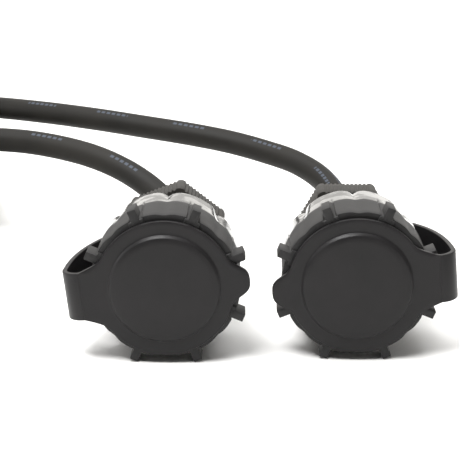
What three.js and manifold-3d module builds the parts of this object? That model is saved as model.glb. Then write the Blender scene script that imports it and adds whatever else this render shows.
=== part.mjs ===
// A shore power cord: two weatherproof locking connectors on one heavy round cord.
// Millimetres, +Z up. Each connector lies on two lugs of its coupling ring, with its axis along Y
// and its capped mouth facing -Y. A piece's "depth" is measured along +Y from the front of the lugs.
import * as THREE from "three";
import { mergeVertices } from "three/addons/utils/BufferGeometryUtils.js";
import Module from "manifold-3d";

const wasm = await Module();
wasm.setup();

const degrees = (a) => (a * Math.PI) / 180;

// ---- Clearances ----
const TOUCH = 0.3; // between pieces that meet
const RUN = 0.4; // between pieces that turn on each other

// ---- Cord ----
const CORD_D = 16.8;
const CORD_SIDES = 10;
const COIL_MEAN_R = 125;
const COIL_LAYERS = 5;
const COIL_COLUMNS = 2;
const COIL_CENTRE = [-343, 247.5];

// ---- Shell, from its mouth to its flange ----
const MOUTH_R = 28; // bore that takes the mating half
const MOUTH_WALL = 2.6;
const MOUTH_OUTER = MOUTH_R + MOUTH_WALL;
const SHELL_FRONT = 0.9;
const FLANGE_T = 7;
const WAIST_R = MOUTH_R + 1.2; // behind the flange, where the coupling ring turns
const GROOVE_DEPTH = 1.6;
const SEAL_HEIGHT = 3.8; // from the mouth to the coupling ring
const SEAL_T = 2.2;
const SEAL_DEPTH = 9;
const CIRCLIP_T = 1.4;
const CIRCLIP_HEIGHT = 3.4;
const CIRCLIP_GAP = 5;

// ---- Coupling ring ----
const LUG_COUNT = 8;
const LUG_RISE = 5.6;
const LUG_ROOT = 1.5; // wall left inside a lug's root
const LUG_WIDTH = 4.9;
const LUG_DEPTH = 14;
const RING_WALL = 8;
const RING_INNER = MOUTH_OUTER + SEAL_HEIGHT;
const RING_R = RING_INNER + RING_WALL; // over the crests of the grip
const SCALLOP = 1.4; // how far its dips lie below the crests
const RING_FRONT = 0.6;
const RING_CHAMFER = 1.8;
const GRIP_DEPTH = 29; // where the taper starts
const RING_LENGTH = 52;
const RING_TAPER = 0.6;
const RING_REAR_R = RING_R - RING_TAPER;
const RING_WEB = 8; // lip at the rear that bears on the shell's flange
const LUG_TIP_R = RING_R + LUG_RISE;

// ---- Insert, contacts and terminals ----
const INSERT_LENGTH = 20;
const INSERT_FRONT = 14;
const RETAINER_T = 1.4;
const RETAINER_HEIGHT = 2.4;
const BLADE_CIRCLE_R = 12;
const BLADE_T = 1.8;
const BLADE_HALF_ARC = degrees(20);
const PIN_TIP = 8.6; // depth of the plug's pin tips
const CLIP_TIP = 20; // depth of the socket's spring clips
const BLOCK = 8.4;
const SCREW_R = 1.6;
const SCREW_LENGTH = 2;
const SCREW_HEAD_R = 3;
const SCREW_HEAD_T = 1.6;
const SCREW_ROOM = 2.4; // from a screw's head to the shell
const WIRE_R = 2;
const WIRE_ENTRY = 4.6; // how far a conductor goes into its block
const LAY_R = 3.6; // conductors' circle inside the jacket

// ---- Neck and gland ----
const NECK_WALL = 4.1;
const NECK_SLOPE = 4.6; // length of the cone from the waist to the neck
const NECK_TAIL = 6; // neck left behind the collar
const GROMMET_WALL = 7.1;
const THREAD_STEP = 1; // thread below the neck
const THREAD_SHOWN = 5; // between the neck and the nut
const THREAD_HELD = 9.5; // inside the nut
const THREAD_CLEARANCE = 0.5;
const GLAND_WEB = 3;
const WEB_SET_BACK = 2; // of the web's rear face in front of the neck's end
const JACKET_INSIDE = 9; // jacket that shows in the wiring space
const NUT_WALL = 5.8;
const NUT_CORNER_FILLET = 5;
const NUT_LENGTH = 21;
const CLAMP_T = 3.6;
const CLAMP_SLIT = 2.4;
const WASHER_T = 1.4;
const CORD_HOLE_CLEARANCE = 0.8;
const WIRING_R = BLADE_CIRCLE_R + BLOCK / 2 + TOUCH + SCREW_HEAD_T + SCREW_ROOM;
const NECK_R = WIRING_R + NECK_WALL;
const GLAND_R = NECK_R - THREAD_STEP;
const GROMMET_R = CORD_D / 2 + GROMMET_WALL;
const NUT_INNER_R = GLAND_R + THREAD_CLEARANCE;
const NUT_FLAT_R = NUT_INNER_R + NUT_WALL; // axis to flat

// ---- Dust cap ----
const CAP_SET_IN = 3.1; // of its edge inside the ring's crests
const CAP_RIM_R = RING_R - CAP_SET_IN;
const CAP_GAP = 0.4; // from its flange to the front of the lugs
const CAP_FLANGE_T = 2.8;
const CAP_EDGE = 0.6;
const CAP_DISC_R = MOUTH_OUTER + 0.4;
const CAP_DISC_RISE = 2.2;
const CAP_BEVEL = 0.9;
const SKIRT_DEPTH = 7;
const SKIRT_WALL = 2.2;
const SKIRT_TAPER = 0.5;
const SKIRT_CLEARANCE = 1.4; // lets the cap swing out of the mouth
const TAB_REACH = CAP_RIM_R + 8.7;
const TAB_END = 6; // length of its rounded end
const TAB_HALF_WIDTH = 9;
const TAB_ROOT_HALF_WIDTH = 21;
const WING_ROOT_R = CAP_RIM_R * 0.8; // where tab and strap grow out of the flange

// ---- Strap and collar ----
const STRAP_WIDTH = 28;
const STRAP_T = CAP_FLANGE_T;
const STRAP_ROOT_WIDTH = STRAP_WIDTH + 18;
const BEND_R = 8.8; // centreline radius of the turn at the side
const BEND_CENTRE_R = LUG_TIP_R - 1.2;
const BEND_CENTRE_DEPTH = BEND_R - CAP_GAP - CAP_FLANGE_T / 2;
const COLLAR_WIDTH = 12;
const COLLAR_T = 3;
const COLLAR_SET_BACK = 7.3; // behind the neck's cone
const STRAP_END_LAP = 5; // how far its end reaches over the collar
const STRAP_LIFT = 0.9; // of its end over the collar
const STRAP_BULGE = 1.9; // of its slant outside the ring's rear edge

// ---- Depths along a connector ----
const FLANGE_END = RING_LENGTH - RING_WEB - RUN;
const CIRCLIP_FRONT = RING_LENGTH + RUN;
const GROOVE_END = CIRCLIP_FRONT + CIRCLIP_T + TOUCH;
const NECK_START = GROOVE_END + NECK_SLOPE;
const COLLAR_DEPTH = NECK_START + COLLAR_SET_BACK;
const NECK_END = COLLAR_DEPTH + COLLAR_WIDTH + NECK_TAIL;
const WIRING_END = NECK_END - WEB_SET_BACK - GLAND_WEB;
const JACKET_START = WIRING_END - JACKET_INSIDE;
const NUT_FRONT = NECK_END + THREAD_SHOWN;
const GLAND_END = NUT_FRONT + THREAD_HELD;
const CLAMP_FRONT = GLAND_END + TOUCH;
const WASHER_FRONT = CLAMP_FRONT + CLAMP_T + TOUCH;
const NUT_REAR = NUT_FRONT + NUT_LENGTH;
const INSERT_END = INSERT_FRONT + INSERT_LENGTH;
const BLOCK_FRONT = INSERT_END + TOUCH;
const BLOCK_END = BLOCK_FRONT + BLOCK;
const SCREW_DEPTH = BLOCK_END - WIRE_ENTRY / 2;
const BLOCK_TOP_R = BLADE_CIRCLE_R + BLOCK / 2;
const CAP_BACK = -CAP_GAP;
const CAP_FRONT = CAP_BACK - CAP_FLANGE_T;
const CAP_DISC_FRONT = CAP_FRONT - CAP_DISC_RISE;

// ---- Placing ----
const TAB_GAP = 12; // between the two caps' tabs
const SPACING = 2 * TAB_REACH + TAB_GAP; // between the two axes
const SET_BACK = 6; // of the socket behind the plug
const ENDS = {
  plug: { side: -1, capTurn: degrees(6.4), nutTurn: degrees(22), contactTip: PIN_TIP },
  socket: { side: 1, capTurn: degrees(185.5), nutTurn: degrees(0), contactTip: CLIP_TIP },
};
const POLES = { line: degrees(90), neutral: degrees(210), earth: degrees(330) };

// Height of a connector's axis when it lies on two lugs: the low corner of a lug's outer face.
const LUG_STEP = (2 * Math.PI) / LUG_COUNT;
const AXIS_HEIGHT =
  LUG_TIP_R * Math.cos(LUG_STEP / 2) + (LUG_WIDTH / 2) * Math.sin(LUG_STEP / 2);

// ---- Materials ----
const finish = (color, roughness, metalness = 0) =>
  new THREE.MeshStandardMaterial({ color, roughness, metalness });
const capRubber = finish(0x262426, 0.5);
const gripPlastic = finish(0x2a292b, 0.3);
const housingPlastic = finish(0x1c1c1d, 0.45);
const nutPlastic = finish(0x3a3633, 0.6);
const sealRubber = finish(0x141414, 0.75);
const insertPlastic = finish(0x30302e, 0.55);
const brass = finish(0xb79a55, 0.35, 0.9);
const steel = finish(0xa9abad, 0.35, 0.9);
const jacketRubber = finish(0x2f2d2a, 0.6);
const WIRE_FINISH = {
  line: finish(0x181818, 0.5),
  neutral: finish(0xdddad2, 0.5),
  earth: finish(0x2f7d43, 0.5),
};

// ---- Shapes and solids ----

// A body turned about Y from a closed outline of [radius, depth] corners.
function turned(outline, segments) {
  const doubledArea = outline.reduce((sum, [r, d], i) => {
    const [r2, d2] = outline[(i + 1) % outline.length];
    return sum + r * d2 - r2 * d;
  }, 0);
  const loop = doubledArea > 0 ? outline : [...outline].reverse();
  const points = [...loop, loop[0]].map(([r, d]) => new THREE.Vector2(r, d));
  return new THREE.LatheGeometry(points, segments);
}

// A plain ring or sleeve between two radii and two depths.
const sleeve = (inner, outer, from, to, segments = 24) =>
  turned([[inner, from], [outer, from], [outer, to], [inner, to]], segments);

// A solid disc or shaft on the axis: its outline starts and ends on the axis.
function spun(outline, segments) {
  return new THREE.LatheGeometry(outline.map(([r, d]) => new THREE.Vector2(r, d)), segments);
}

// A prism along Y whose shape is drawn as seen from the front, X to the right and Z up.
function prism(shape, from, to, curveSegments = 6) {
  const options = { depth: to - from, bevelEnabled: false, curveSegments };
  return new THREE.ExtrudeGeometry(shape, options).rotateX(Math.PI / 2).translate(0, to, 0);
}

// A geometry as a manifold-3d solid, for joins and cuts.
function solid(geometry) {
  const bare = geometry.index ? geometry.toNonIndexed() : geometry.clone();
  bare.deleteAttribute("normal");
  bare.deleteAttribute("uv");
  const merged = mergeVertices(bare, 1e-3);
  const corners = merged.index.array;
  const kept = [];
  for (let i = 0; i < corners.length; i += 3) {
    const [a, b, c] = corners.slice(i, i + 3);
    if (a !== b && b !== c && c !== a) kept.push(a, b, c);
  }
  const vertProperties = merged.attributes.position.array;
  return new wasm.Manifold(new wasm.Mesh({ numProp: 3, vertProperties, triVerts: new Uint32Array(kept) }));
}

// A manifold-3d solid back as a geometry.
function geometryOf(made) {
  const { vertProperties, triVerts } = made.getMesh();
  return new THREE.BufferGeometry()
    .setAttribute("position", new THREE.BufferAttribute(vertProperties, 3))
    .setIndex(new THREE.BufferAttribute(triVerts, 1));
}

// A copy of a geometry turned about the connector's axis; positive is anticlockwise from the front.
const turnedBy = (geometry, angle) => geometry.clone().rotateY(-angle);

function piece(name, geometry, material) {
  const mesh = new THREE.Mesh(geometry, material);
  mesh.name = name;
  return mesh;
}

// ---- Coupling ring ----

// Depth of the grip's scallops at an angle: a small dip between the two humps of each panel.
function gripDip(angle) {
  const acrossPanel = angle / LUG_STEP;
  return SCALLOP * Math.abs(Math.cos(2 * Math.PI * acrossPanel)) ** 3;
}

function couplingRing() {
  const webInner = WAIST_R + RUN;
  const webFront = RING_LENGTH - RING_WEB;
  const geometry = turned([
    [RING_INNER, RING_FRONT],
    [RING_R - RING_CHAMFER, RING_FRONT],
    [RING_R, RING_FRONT + RING_CHAMFER],
    [RING_R, GRIP_DEPTH],
    [RING_REAR_R, RING_LENGTH - RING_CHAMFER],
    [RING_REAR_R - RING_CHAMFER, RING_LENGTH],
    [webInner, RING_LENGTH],
    [webInner, webFront],
    [RING_INNER, webFront],
  ], 64);
  // The outside is scalloped from the front chamfer to the rear one.
  const place = geometry.attributes.position;
  for (let i = 0; i < place.count; i++) {
    const [x, depth, z] = [place.getX(i), place.getY(i), place.getZ(i)];
    const r = Math.hypot(x, z);
    const scalloped = r > RING_REAR_R - RING_CHAMFER / 2 && depth > RING_FRONT + RING_CHAMFER / 2;
    const share = scalloped ? (r - gripDip(Math.atan2(z, x))) / r : 1;
    place.setXYZ(i, x * share, depth, z * share);
  }
  let made = solid(geometry);
  const lugHeight = LUG_TIP_R - RING_INNER - LUG_ROOT;
  for (let i = 0; i < LUG_COUNT; i++) {
    const lug = new THREE.BoxGeometry(lugHeight, LUG_DEPTH, LUG_WIDTH)
      .translate(LUG_TIP_R - lugHeight / 2, LUG_DEPTH / 2, 0);
    made = made.add(solid(turnedBy(lug, (i + 0.5) * LUG_STEP)));
  }
  return geometryOf(made);
}

// ---- Shell and what it holds ----

function shell() {
  const grooveR = WAIST_R - GROOVE_DEPTH;
  const grooveFront = CIRCLIP_FRONT - TOUCH;
  const flangeR = RING_INNER - RUN;
  const flangeFront = FLANGE_END - FLANGE_T;
  const cordHoleR = CORD_D / 2 + CORD_HOLE_CLEARANCE;
  const grommetSeat = WIRING_END + GLAND_WEB;
  return turned([
    [MOUTH_R, SHELL_FRONT],
    [MOUTH_OUTER, SHELL_FRONT],
    [MOUTH_OUTER, flangeFront],
    [flangeR, flangeFront],
    [flangeR, FLANGE_END],
    [WAIST_R, FLANGE_END],
    [WAIST_R, grooveFront],
    [grooveR, grooveFront],
    [grooveR, GROOVE_END],
    [WAIST_R, GROOVE_END],
    [NECK_R, NECK_START],
    [NECK_R, NECK_END],
    [GLAND_R, NECK_END + THREAD_STEP],
    [GLAND_R, GLAND_END],
    [GROMMET_R + TOUCH, GLAND_END],
    [GROMMET_R + TOUCH, grommetSeat],
    [cordHoleR, grommetSeat],
    [cordHoleR, WIRING_END],
    [WIRING_R, WIRING_END],
    [WIRING_R, INSERT_END + TOUCH],
    [MOUTH_R, INSERT_END + TOUCH],
  ], 32);
}

function circlip() {
  const inner = WAIST_R - GROOVE_DEPTH + TOUCH;
  const ring = solid(sleeve(inner, inner + CIRCLIP_HEIGHT, CIRCLIP_FRONT, CIRCLIP_FRONT + CIRCLIP_T));
  const gap = new THREE.BoxGeometry(CIRCLIP_GAP, 4 * CIRCLIP_T, 4 * CIRCLIP_HEIGHT)
    .translate(0, CIRCLIP_FRONT, inner);
  return geometryOf(ring.subtract(solid(gap)));
}

const frontSeal = () =>
  sleeve(MOUTH_OUTER + TOUCH, RING_INNER - RUN, SEAL_DEPTH, SEAL_DEPTH + SEAL_T, 48);

const insertRetainer = () =>
  sleeve(MOUTH_R - TOUCH - RETAINER_HEIGHT, MOUTH_R - TOUCH, INSERT_FRONT - TOUCH - RETAINER_T,
    INSERT_FRONT - TOUCH);

// The curved section of a blade, or of its slot when grown by a clearance, at one pole's angle.
function bladeShape(angle, grow = 0) {
  const half = BLADE_HALF_ARC + grow / BLADE_CIRCLE_R;
  const outer = BLADE_CIRCLE_R + BLADE_T / 2 + grow;
  const inner = BLADE_CIRCLE_R - BLADE_T / 2 - grow;
  return new THREE.Shape()
    .absarc(0, 0, outer, angle - half, angle + half, false)
    .absarc(0, 0, inner, angle + half, angle - half, true);
}

function insert() {
  let made = solid(spun([
    [0, INSERT_FRONT],
    [MOUTH_R - TOUCH, INSERT_FRONT],
    [MOUTH_R - TOUCH, INSERT_END],
    [0, INSERT_END],
  ], 32));
  for (const angle of Object.values(POLES)) {
    made = made.subtract(solid(prism(bladeShape(angle, TOUCH), INSERT_FRONT - 1, INSERT_END + 1, 4)));
  }
  return geometryOf(made);
}

// A contact: its curved blade or clip, and a terminal block bored for the conductor and its screw.
function contact(angle, tip) {
  const block = new THREE.BoxGeometry(BLOCK, BLOCK, BLOCK)
    .translate(BLADE_CIRCLE_R, BLOCK_FRONT + BLOCK / 2, 0);
  const wireBore = new THREE.CylinderGeometry(WIRE_R + TOUCH, WIRE_R + TOUCH, 2 * WIRE_ENTRY, 10)
    .translate(BLADE_CIRCLE_R, BLOCK_END, 0);
  const screwBore = new THREE.CylinderGeometry(SCREW_R + TOUCH, SCREW_R + TOUCH, BLOCK / 2, 10)
    .rotateZ(Math.PI / 2)
    .translate(BLADE_CIRCLE_R + BLOCK / 2, SCREW_DEPTH, 0);
  return geometryOf(
    solid(turnedBy(block, angle))
      .subtract(solid(turnedBy(wireBore, angle)))
      .subtract(solid(turnedBy(screwBore, angle)))
      .add(solid(prism(bladeShape(angle), tip, BLOCK_FRONT + 1, 4))),
  );
}

function terminalScrew(angle) {
  const seat = BLOCK_TOP_R + TOUCH;
  const made = spun([
    [0, -SCREW_LENGTH],
    [SCREW_R, -SCREW_LENGTH],
    [SCREW_R, 0],
    [SCREW_HEAD_R, 0],
    [SCREW_HEAD_R, SCREW_HEAD_T],
    [0, SCREW_HEAD_T],
  ], 10);
  return turnedBy(made.rotateZ(-Math.PI / 2).translate(seat, SCREW_DEPTH, 0), angle);
}

// A round bar along a curve through points, in equal steps.
function roundBar(points, radius, sides, steps) {
  const shape = new THREE.Shape();
  for (let i = 0; i < sides; i++) {
    const a = (2 * Math.PI * i) / sides;
    const corner = [radius * Math.cos(a), radius * Math.sin(a)];
    if (i) shape.lineTo(...corner);
    else shape.moveTo(...corner);
  }
  const path = new THREE.CatmullRomCurve3(points.map((p) => new THREE.Vector3(...p)));
  return new THREE.ExtrudeGeometry(shape, { steps, extrudePath: path });
}

function conductor(angle) {
  const at = (r, depth) => [r * Math.cos(angle), depth, r * Math.sin(angle)];
  const start = BLOCK_END - WIRE_ENTRY + TOUCH;
  const end = JACKET_START - TOUCH;
  const run = end - BLOCK_END;
  const midR = (BLADE_CIRCLE_R + LAY_R) / 2;
  return roundBar([
    at(BLADE_CIRCLE_R, start),
    at(BLADE_CIRCLE_R, BLOCK_END + 1),
    at(BLADE_CIRCLE_R - 1, BLOCK_END + run * 0.3),
    at(midR, BLOCK_END + run * 0.55),
    at(LAY_R + 0.5, BLOCK_END + run * 0.85),
    at(LAY_R, end),
  ], WIRE_R, 8, 10);
}

const jacketEnd = () => spun([
  [0, JACKET_START],
  [CORD_D / 2, JACKET_START],
  [CORD_D / 2, NUT_REAR - TOUCH],
  [0, NUT_REAR - TOUCH],
], 20);

// ---- Gland ----

const grommet = () =>
  sleeve(CORD_D / 2 + TOUCH, GROMMET_R, WIRING_END + GLAND_WEB + TOUCH, GLAND_END);

function clampRing() {
  const ring = solid(sleeve(CORD_D / 2 + 2 * TOUCH, GLAND_R, CLAMP_FRONT, CLAMP_FRONT + CLAMP_T));
  const slit = new THREE.BoxGeometry(CLAMP_SLIT, 4 * CLAMP_T, 2 * GLAND_R)
    .translate(0, CLAMP_FRONT, -GLAND_R);
  return geometryOf(ring.subtract(solid(slit)));
}

const slipWasher = () =>
  sleeve(CORD_D / 2 + 2 * TOUCH, GLAND_R, WASHER_FRONT, WASHER_FRONT + WASHER_T);

function clampNut(turn) {
  const cornerCentre = (NUT_FLAT_R - NUT_CORNER_FILLET) / Math.cos(degrees(30));
  const shape = new THREE.Shape();
  for (let i = 0; i < 6; i++) {
    const a = turn + degrees(60 * i);
    const [x, z] = [cornerCentre * Math.cos(a), cornerCentre * Math.sin(a)];
    shape.absarc(x, z, NUT_CORNER_FILLET, a - degrees(30), a + degrees(30), false);
  }
  const cavityEnd = WASHER_FRONT + WASHER_T + TOUCH;
  const cordHoleR = CORD_D / 2 + CORD_HOLE_CLEARANCE;
  const cavity = spun([
    [0, NUT_FRONT - 1],
    [NUT_INNER_R, NUT_FRONT - 1],
    [NUT_INNER_R, cavityEnd],
    [cordHoleR, cavityEnd],
    [cordHoleR, NUT_REAR + 1],
    [0, NUT_REAR + 1],
  ], 32);
  return geometryOf(solid(prism(shape, NUT_FRONT, NUT_REAR, 4)).subtract(solid(cavity)));
}

// ---- Dust cap, strap and collar: drawn with the strap towards -X ----

const STRAP_ROOT_R = BEND_CENTRE_R - TOUCH / 2; // where the cap's own stub of strap ends
const SKIRT_R = MOUTH_R - SKIRT_CLEARANCE;

// The pull tab's outline: a wide root that narrows to a rounded end.
function tabShape() {
  const neck = CAP_RIM_R - 1;
  const shoulder = TAB_REACH - TAB_END;
  const bulge = TAB_REACH + TAB_END / 3;
  const rootY = TAB_ROOT_HALF_WIDTH;
  const y = TAB_HALF_WIDTH;
  return new THREE.Shape()
    .moveTo(WING_ROOT_R, -rootY)
    .bezierCurveTo(neck, -0.8 * rootY, neck, -y, shoulder, -y)
    .bezierCurveTo(bulge, -0.8 * y, bulge, 0.8 * y, shoulder, y)
    .bezierCurveTo(neck, y, neck, 0.8 * rootY, WING_ROOT_R, rootY);
}

// The stub of strap on the other side, which flares into the flange.
function strapRootShape() {
  const x = 4 - WING_ROOT_R;
  const y = STRAP_WIDTH / 2;
  return new THREE.Shape()
    .moveTo(x, STRAP_ROOT_WIDTH / 2)
    .quadraticCurveTo(-CAP_RIM_R, y, -STRAP_ROOT_R, y)
    .lineTo(-STRAP_ROOT_R, -y)
    .quadraticCurveTo(-CAP_RIM_R, -y, x, -STRAP_ROOT_WIDTH / 2);
}

function dustCap() {
  const body = spun([
    [0, CAP_DISC_FRONT],
    [CAP_DISC_R - CAP_BEVEL, CAP_DISC_FRONT],
    [CAP_DISC_R, CAP_DISC_FRONT + CAP_BEVEL],
    [CAP_DISC_R + CAP_EDGE, CAP_FRONT],
    [CAP_RIM_R - CAP_EDGE, CAP_FRONT],
    [CAP_RIM_R, CAP_FRONT + CAP_EDGE],
    [CAP_RIM_R, CAP_BACK],
    [SKIRT_R, CAP_BACK],
    [SKIRT_R - SKIRT_TAPER, SKIRT_DEPTH],
    [SKIRT_R - SKIRT_WALL, SKIRT_DEPTH],
    [SKIRT_R - SKIRT_WALL, CAP_BACK],
    [0, CAP_BACK],
  ], 48);
  return geometryOf(
    solid(body)
      .add(solid(prism(tabShape(), CAP_FRONT, CAP_BACK, 5)))
      .add(solid(prism(strapRootShape(), CAP_FRONT, CAP_BACK, 5))),
  );
}

// The strap's centreline as seen from above: round the bend, then slanting back to the collar.
function strapLine() {
  const steps = 8;
  const bend = [];
  for (let i = 0; i <= steps; i++) {
    const a = degrees(-90 + (i * 100) / steps);
    const r = BEND_CENTRE_R + BEND_R * Math.cos(a);
    bend.push(new THREE.Vector2(r, BEND_CENTRE_DEPTH + BEND_R * Math.sin(a)));
  }
  const start = bend[steps];
  const endR = NECK_R + TOUCH + COLLAR_T + STRAP_T / 2 + STRAP_LIFT;
  const end = new THREE.Vector2(endR, COLLAR_DEPTH + STRAP_END_LAP);
  const leg = end.y - start.y;
  const slant = new THREE.CubicBezierCurve(
    start,
    new THREE.Vector2(start.x - 1, start.y + 0.42 * leg),
    new THREE.Vector2(RING_REAR_R + STRAP_T + STRAP_BULGE, start.y + 0.79 * leg),
    end,
  );
  return [...bend, ...slant.getSpacedPoints(steps).slice(1)];
}

function strap() {
  const line = strapLine();
  const side = (offset) => line.map((p, i) => {
    const before = line[Math.max(i - 1, 0)];
    const after = line[Math.min(i + 1, line.length - 1)];
    const along = after.clone().sub(before).normalize();
    return new THREE.Vector2(-(p.x + along.y * offset), p.y - along.x * offset);
  });
  const outline = [...side(STRAP_T / 2), ...side(-STRAP_T / 2).reverse()];
  const options = { depth: STRAP_WIDTH, bevelEnabled: false };
  return new THREE.ExtrudeGeometry(new THREE.Shape(outline), options).translate(0, 0, -STRAP_WIDTH / 2);
}

function strapCollar() {
  const inner = NECK_R + TOUCH;
  return sleeve(inner, inner + COLLAR_T, COLLAR_DEPTH, COLLAR_DEPTH + COLLAR_WIDTH, 32);
}

// ---- One end ----

function connector(end, { side, capTurn, nutTurn, contactTip }) {
  const group = new THREE.Group();
  group.position.set((side * SPACING) / 2, side > 0 ? SET_BACK : 0, AXIS_HEIGHT);
  const add = (name, geometry, material) => group.add(piece(`${end}_${name}`, geometry, material));
  add("shell", shell(), housingPlastic);
  add("coupling_ring", couplingRing(), gripPlastic);
  add("ring_circlip", circlip(), steel);
  add("front_seal", frontSeal(), sealRubber);
  add("insert", insert(), insertPlastic);
  add("insert_retainer", insertRetainer(), housingPlastic);
  for (const [pole, angle] of Object.entries(POLES)) {
    add(`contact_${pole}`, contact(angle, contactTip), brass);
    add(`terminal_screw_${pole}`, terminalScrew(angle), steel);
    add(`conductor_${pole}`, conductor(angle), WIRE_FINISH[pole]);
  }
  add("jacket_end", jacketEnd(), jacketRubber);
  add("grommet", grommet(), sealRubber);
  add("clamp_ring", clampRing(), housingPlastic);
  add("slip_washer", slipWasher(), steel);
  add("clamp_nut", clampNut(nutTurn), nutPlastic);
  add("dust_cap", turnedBy(dustCap(), capTurn), capRubber);
  add("cap_strap", turnedBy(strap(), capTurn), capRubber);
  add("strap_collar", turnedBy(strapCollar(), capTurn), capRubber);
  return group;
}

// ---- The cord ----

const TOP_TURN = (COIL_LAYERS - 0.5) * CORD_D; // height of the coil's uppermost turns
const GLAND = {
  plug: [-SPACING / 2, NUT_REAR + TOUCH],
  socket: [SPACING / 2, SET_BACK + NUT_REAR + TOUCH],
};

const STRAIGHT_OUT = { plug: 11.7, socket: 17.7 }; // first stretch behind each gland

// From the plug's gland, rising on to the top of the coil, where it runs into the outer turn.
const PLUG_ROUTE = [
  [...GLAND.plug, AXIS_HEIGHT],
  [GLAND.plug[0], GLAND.plug[1] + STRAIGHT_OUT.plug, AXIS_HEIGHT],
  [-56.6, 138, 45.8],
  [-64, 155, 48.5],
  [-76, 170, 53],
  [-92, 183, 59.5],
  [-114, 196, 67.5],
  [-139, 208, 73],
  [-168, 219, 75.4],
  [-204, 228, 75.8],
  [-222, 227, 75.7],
  [-240, 218, TOP_TURN],
];

// From the socket's gland, rising on to the top of the coil, where it runs into the inner turn.
const SOCKET_ROUTE = [
  [...GLAND.socket, AXIS_HEIGHT],
  [GLAND.socket[0], GLAND.socket[1] + STRAIGHT_OUT.socket, AXIS_HEIGHT],
  [53.3, 156, 46],
  [49.3, 179, 48.5],
  [40.5, 200, 52.5],
  [25, 220, 58.5],
  [4, 236, 65],
  [-22, 248, 70.5],
  [-52, 258, 74],
  [-86, 271, 75.6],
  [-124, 287, 76],
  [-166, 308, 75.8],
  [-214, 336, TOP_TURN],
  [-262, 354, TOP_TURN],
];

const COIL_INNER = COIL_MEAN_R - (COIL_COLUMNS / 2) * CORD_D;
const COIL_OUTER = COIL_MEAN_R + (COIL_COLUMNS / 2) * CORD_D;
const COIL_HEIGHT = COIL_LAYERS * CORD_D;

// A body of revolution about Z at the coil's place, from an outline of [radius, height] corners.
const aroundCoil = (geometry) => geometry.rotateX(Math.PI / 2).translate(...COIL_CENTRE, 0);

const coilRing = () => aroundCoil(sleeve(COIL_INNER, COIL_OUTER, 0, COIL_HEIGHT, 48));

// The part of a stretch of cord that lies outside the coil.
function cordRun(route, steps) {
  const drum = aroundCoil(spun([
    [0, -1],
    [COIL_OUTER + TOUCH, -1],
    [COIL_OUTER + TOUCH, COIL_HEIGHT + CORD_D],
    [0, COIL_HEIGHT + CORD_D],
  ], 48));
  return geometryOf(solid(roundBar(route, CORD_D / 2, CORD_SIDES, steps)).subtract(solid(drum)));
}

// The origin is on the floor under the middle of the two connectors' footprint.
const footprintRear = SET_BACK + NUT_REAR;
const layout = new THREE.Group();
layout.position.y = -(CAP_DISC_FRONT + footprintRear) / 2;
for (const [end, how] of Object.entries(ENDS)) layout.add(connector(end, how));
layout.add(
  piece("cord_run_plug", cordRun(PLUG_ROUTE, 9), jacketRubber),
  piece("cord_run_socket", cordRun(SOCKET_ROUTE, 13), jacketRubber),
  piece("cord_coil", coilRing(), jacketRubber),
);

const shorePowerCord = new THREE.Group();
shorePowerCord.add(layout);

export default shorePowerCord;
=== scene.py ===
# %% [markdown]
# # A shore power cord, piece by piece
#
# The cord feeds a caravan from a mains post. Each end is a round connector: a rubber dust cap on
# a strap, a grip ring with lugs, a shell and a knurled nut that clamps the cord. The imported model
# gives every piece its place. Here the pieces that show get their fine surface and their finish.

# %% Load the frame
import math

import bmesh
import bpy
import numpy as np
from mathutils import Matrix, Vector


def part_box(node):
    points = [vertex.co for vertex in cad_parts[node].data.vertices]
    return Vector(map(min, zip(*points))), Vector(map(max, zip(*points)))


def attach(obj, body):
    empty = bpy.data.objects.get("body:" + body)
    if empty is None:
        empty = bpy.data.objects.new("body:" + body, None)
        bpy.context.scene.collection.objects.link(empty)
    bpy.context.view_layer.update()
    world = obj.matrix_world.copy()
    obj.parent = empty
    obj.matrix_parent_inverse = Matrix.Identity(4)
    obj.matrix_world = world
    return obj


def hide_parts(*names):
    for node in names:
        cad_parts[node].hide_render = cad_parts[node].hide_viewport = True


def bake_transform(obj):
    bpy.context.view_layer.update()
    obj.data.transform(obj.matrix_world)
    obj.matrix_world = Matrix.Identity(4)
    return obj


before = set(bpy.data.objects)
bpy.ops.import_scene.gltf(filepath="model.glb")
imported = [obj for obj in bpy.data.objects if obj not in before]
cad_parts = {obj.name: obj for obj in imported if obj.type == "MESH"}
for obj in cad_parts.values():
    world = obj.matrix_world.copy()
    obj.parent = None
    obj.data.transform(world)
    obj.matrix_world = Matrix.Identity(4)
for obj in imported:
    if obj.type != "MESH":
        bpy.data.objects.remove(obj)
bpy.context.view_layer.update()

MM = 0.001
ENDS = ("plug", "socket")

# %% [markdown]
# ## Where each connector is
# A connector's axis runs along Y. Its lugs' front faces are its depth zero, and depth grows
# towards the cord. The round shell's box gives the axis, and the ring's box gives the front, so
# nothing is typed in.

# %% Places of the two connectors
def connector_origin(end):
    """The point on a connector's axis at depth zero."""
    low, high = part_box(f"{end}_shell")
    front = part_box(f"{end}_coupling_ring")[0].y
    return np.array([(low.x + high.x) / 2, front, (low.z + high.z) / 2])


ORIGIN = {end: connector_origin(end) for end in ENDS}
STRAP_ANGLE = {"plug": math.radians(186.4), "socket": math.radians(5.5)}
NUT_TURN = {"plug": math.radians(22), "socket": 0.0}
print({end: np.round(ORIGIN[end], 4).tolist() for end in ENDS})

# %% [markdown]
# ## Camera and light
# A long lens seen from a little above keeps the two round faces round. Most of the light comes
# from a wide panel above, as over a product table: black rubber has almost no colour, so its
# shape shows only in what it mirrors, and edges and flanks that face a panel turn bright.

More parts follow.
